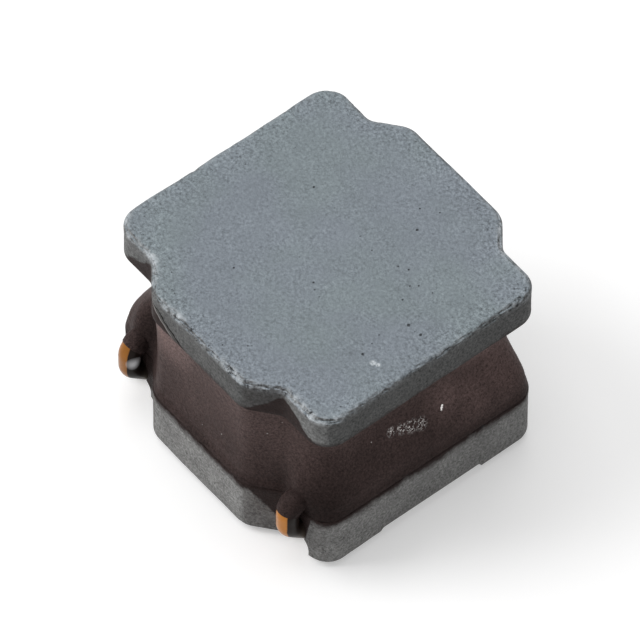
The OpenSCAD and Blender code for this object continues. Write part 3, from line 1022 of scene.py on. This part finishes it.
def resin_material():
    s = Shader("magnetic_resin")
    z = s.axes(s.place)[2]
    grain = s.remap(s.noise(20, 4, 0.9), 0.30, 0.70, 0.25, 1.75)
    cloud = s.remap(s.noise(1.3, 3, 0.5, 4.0), 0.3, 0.7, 0.88, 1.12)
    # Painted shade in the deep corners and painted sheen on the paler parts
    painted_shade = s.remap(s.spots(PAINTED_SHADE_SPOTS, 1.0), 0.0, 0.8, 1.0, 0.42)
    painted_sheen = s.remap(s.spots(PAINTED_SHEEN_SPOTS, 1.0), 0.0, 0.8, 1.0, 2.0)
    # Painted shade at the foot of the resin, where it meets the lower flange
    foot = s.remap(z, FLANGE_TOP, FLANGE_TOP + 0.25, 0.78, 1.0)
    # Darker towards the bottom, paler towards the top
    low_to_high_tone = s.remap(z, FLANGE_TOP, WINDOW_TOP, 0.62, 1.26)
    color = s.shade(RESIN_BROWN, s.product(grain, cloud, low_to_high_tone, painted_shade, painted_sheen, foot))
    flecks = s.product(s.remap(s.cells(4.5), 0.07, 0.04), s.remap(s.noise(1.7, 2, 0.5, 13.0), 0.56, 0.62))
    # Painted highlights: the crinkles and glints are fixed pale metallic flecks where reflections show; the
    # scattered flecks are the resin's own
    ridges = s.math("ABSOLUTE", s.math("SUBTRACT", s.noise(10, 3, 0.7, 8.0), 0.5))
    painted_crinkle_glints = s.product(s.spots(PAINTED_GLINT_CRINKLES, 0.6), s.remap(ridges, 0.035, 0.010))
    glints = s.math("MAXIMUM", painted_crinkle_glints, s.spots(GLINTS, 0.3))
    flecks_and_painted_glints = s.math("MAXIMUM", s.product(flecks, 0.7), glints)
    color = s.blend(flecks_and_painted_glints, color, FLECK_AND_GLINT_PALE)
    height = s.math("ADD", s.noise(22, 3, 0.6), s.product(s.noise(3.5, 3, 0.5), 1.5))
    height = s.math("ADD", height, s.product(flecks_and_painted_glints, 2.0))
    return s.surface(Base_Color=color, Metallic=s.product(flecks_and_painted_glints, 0.8),
                     Roughness=s.remap(flecks_and_painted_glints, 0, 1, 0.50, 0.20),
                     Specular_IOR_Level=DULL_SPECULAR, Normal=s.bump(height, 0.010))


def wire_material():
    s = Shader("enamelled_copper")
    tin = s.attribute("tinned")
    # Painted light and shade: orange copper on the lit flank, dark elsewhere
    painted_lit_side = s.remap(s.math("ADD", s.attribute("lit_flank"), s.remap(s.noise(5, 2), 0, 1, -0.05, 0.05)), 0.14, 0.22)
    streak = s.remap(s.noise(6, 3, 0.6), 0.3, 0.7, 0.9, 1.1)
    # The orange is darker on the lead at -X
    streak = s.product(streak, s.remap(s.axes(s.place)[0], -0.1, 0.1, 0.70, 1.15))
    color = s.blend(painted_lit_side, ENAMEL_PAINTED_DARK, s.shade(ENAMEL_ORANGE, streak))
    color = s.blend(tin, color, TIN_GREY)
    # Painted highlight: a grey spot on the lead at -X
    painted_highlight = s.spots([PAINTED_HIGHLIGHT_SPOT], 0.8)
    color = s.blend(painted_highlight, color, HIGHLIGHT_GREY)
    metal = s.product(painted_lit_side, 0.35)
    return s.surface(Base_Color=color, Metallic=metal, Roughness=s.remap(tin, 0, 1, 0.30, 0.45),
                     Specular_IOR_Level=0.08, Coat_Weight=s.product(painted_lit_side, 0.3), Coat_Roughness=0.12,
                     Normal=s.bump(s.noise(5, 2), 0.006))


def film_material():
    s = Shader("electrode_film")
    tone = s.remap(s.noise(18, 3, 0.6), 0.25, 0.75, 0.9, 1.1)
    color = s.shade(SILVER_GREY, tone)
    return s.surface(Base_Color=color, Metallic=1.0, Roughness=0.45, Normal=s.bump(s.noise(25, 3), 0.008))


def solder_material():
    s = Shader("solder")
    tone = s.remap(s.noise(9, 3, 0.6), 0.25, 0.75, 0.92, 1.08)
    color = s.shade(SOLDER_GREY, tone)
    return s.surface(Base_Color=color, Metallic=1.0, Roughness=0.32, Normal=s.bump(s.noise(7, 3), 0.012))


# ---- Stage, light and camera ----

FLOOR_R = 0.4
FLOOR_GREY = (0.72, 0.72, 0.72)
FLOOR_SEEN = (0.80, 0.80, 0.80)
FLOOR_GLOW = 0.36
WORLD_LEVEL = 0.32
WORLD_SEEN = 1.0

CAMERA_DISTANCE = 200.0
CAMERA_TARGET_H = 2.15
CAMERA_LEFT = 0.1225
CAMERA_UP = 0.1168
PIXELS_PER_MM = 55.444
IMAGE_PIXELS = 640
SENSOR_WIDTH = 36


def make_stage():
    """Pale floor and world, whiter to camera, glossy and transmission rays than to the rest"""
    s = Shader("pale_floor")
    light_path = s.add("ShaderNodeLightPath")
    seen = s.math("MAXIMUM", light_path.outputs["Is Camera Ray"], light_path.outputs["Is Glossy Ray"])
    seen = s.math("MAXIMUM", seen, light_path.outputs["Is Transmission Ray"])
    color = s.blend(seen, FLOOR_GREY, FLOOR_SEEN)
    s.surface(Base_Color=color, Roughness=0.9, Specular_IOR_Level=0.0,
              Emission_Color=(1.0, 1.0, 1.0), Emission_Strength=s.product(seen, FLOOR_GLOW))
    mesh = bpy.data.meshes.new("floor")
    r = FLOOR_R
    mesh.from_pydata([(-r, -r, 0), (r, -r, 0), (r, r, 0), (-r, r, 0)], [], [(0, 1, 2, 3)])
    mesh.materials.append(s.material)
    floor = bpy.data.objects.new("floor", mesh)
    bpy.context.scene.collection.objects.link(floor)

    world = bpy.data.worlds.new("studio")
    bpy.context.scene.world = world
    world.use_nodes = True
    tree = world.node_tree
    background = tree.nodes["Background"]
    path = tree.nodes.new("ShaderNodeLightPath")
    seen = path.outputs["Is Camera Ray"]
    for ray in ("Is Glossy Ray", "Is Transmission Ray"):
        most = tree.nodes.new("ShaderNodeMath")
        most.operation = "MAXIMUM"
        tree.links.new(seen, most.inputs[0])
        tree.links.new(path.outputs[ray], most.inputs[1])
        seen = most.outputs[0]
    level = tree.nodes.new("ShaderNodeMapRange")
    level.inputs["To Min"].default_value = WORLD_LEVEL
    level.inputs["To Max"].default_value = WORLD_SEEN
    tree.links.new(seen, level.inputs["Value"])
    tree.links.new(level.outputs[0], background.inputs["Strength"])
    background.inputs["Color"].default_value = (1, 1, 1, 1)


def softbox(name, place, target, size, power):
    data = bpy.data.lights.new(name, "AREA")
    data.shape = "RECTANGLE"
    data.size, data.size_y = size
    data.energy = power
    lamp = bpy.data.objects.new(name, data)
    lamp.location = place
    direction = Vector(target) - Vector(place)
    lamp.rotation_euler = direction.to_track_quat("-Z", "Y").to_euler()
    bpy.context.scene.collection.objects.link(lamp)


def make_camera():
    """Camera at the photo's viewing angle, moved a little left and up across its own view"""
    azimuth, elevation, roll = radians(50.558), radians(53.655), radians(0.374)
    target = Vector((0, 0, SEAT_Z + CAMERA_TARGET_H))
    back = Vector((sin(azimuth) * cos(elevation), -cos(azimuth) * cos(elevation), sin(elevation)))
    right = Vector((cos(azimuth), sin(azimuth), 0))
    up = back.cross(right)
    across = right * cos(roll) + up * sin(roll)
    upright = up * cos(roll) - right * sin(roll)
    place = target + back * CAMERA_DISTANCE - across * CAMERA_LEFT + upright * CAMERA_UP
    data = bpy.data.cameras.new("camera")
    data.sensor_width = SENSOR_WIDTH
    data.lens = PIXELS_PER_MM * CAMERA_DISTANCE * SENSOR_WIDTH / IMAGE_PIXELS
    data.clip_start, data.clip_end = 0.01, 10
    camera = bpy.data.objects.new("camera", data)
    turn = Matrix((across, upright, back)).transposed().to_4x4()
    camera.matrix_world = Matrix.Translation(place * MM) @ turn
    bpy.context.scene.collection.objects.link(camera)
    bpy.context.scene.camera = camera


make_camera()
make_stage()
make_core(ferrite_material())
make_wire(wire_material())
make_shield(resin_material())
film, solder = film_material(), solder_material()
for side, name in ((-1, "left"), (1, "right")):
    make_film(side, "electrode_" + name, film)
    make_solder(side, "solder_" + name, solder)

softbox("key", (-0.42, -0.38, 0.55), (0, 0, 0), (0.4, 0.4), 3.3)
softbox("top", (-0.15, 0.05, 0.75), (0, 0, 0), (0.5, 0.5), 2.0)
bpy.context.scene.view_settings.view_transform = "Standard"
